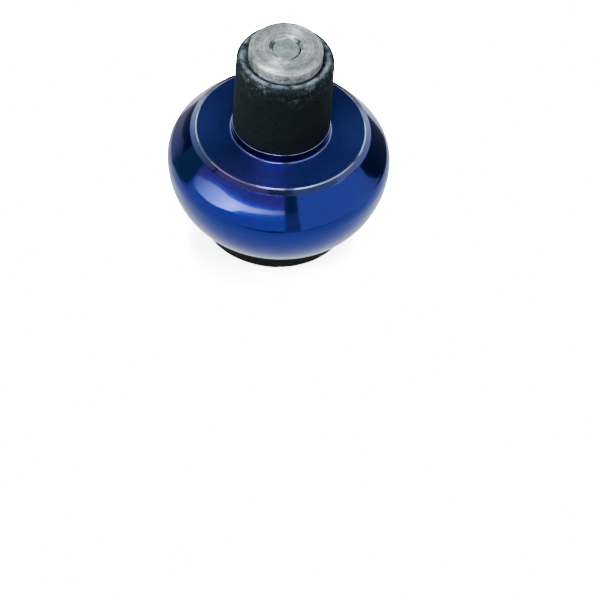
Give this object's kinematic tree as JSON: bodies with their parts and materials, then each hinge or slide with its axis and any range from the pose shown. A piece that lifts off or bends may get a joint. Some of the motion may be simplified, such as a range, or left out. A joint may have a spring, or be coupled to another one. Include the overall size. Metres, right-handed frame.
{
  "type": "bar end weight",
  "caption": "Rounded turned weight for a motorbike handlebar end, with a black recessed ring on its outer end and a screw-drawn rubber expander that grips inside the bar",
  "frame": {"origin": "centre of the flat outer end face of the black ring, on which the weight stands", "axes": "+Z is the axis of symmetry and points from the outer end into the handlebar; X and Y are any two directions across it"},
  "size_m": [0.041, 0.041, 0.0436],
  "materials": {
    "blue_anodised": "polished and blue anodised",
    "black_anodised": "black anodised, satin",
    "zinc_plated": "zinc plated",
    "black_rubber": "matt, scuffed at the rounded end",
    "turned_steel": "as turned, with fine rings"
  },
  "bodies": {
    "bulb": {"weight_body": "blue_anodised", "end_cup": "black_anodised", "rubber_sleeve": "black_rubber"},
    "screw": {"clamp_screw": "zinc_plated"},
    "nut": {"clamp_nut": "turned_steel"}
  },
  "joints": [
    {"name": "screw_turn", "type": "hinge", "parent": "bulb", "child": "screw", "pos_m": [0, 0, 0.0077], "axis": [0, 0, 1], "range_deg": [0, 1080]},
    {"name": "nut_draw", "type": "slide", "parent": "bulb", "child": "nut", "axis": [0, 0, -1], "range_m": [0, 0.003], "deforming": ["rubber_sleeve"]}
  ],
  "couplings": [
    {"joint": "screw_turn", "follows": "nut_draw", "rad_per_m": 6283.2}
  ]
}
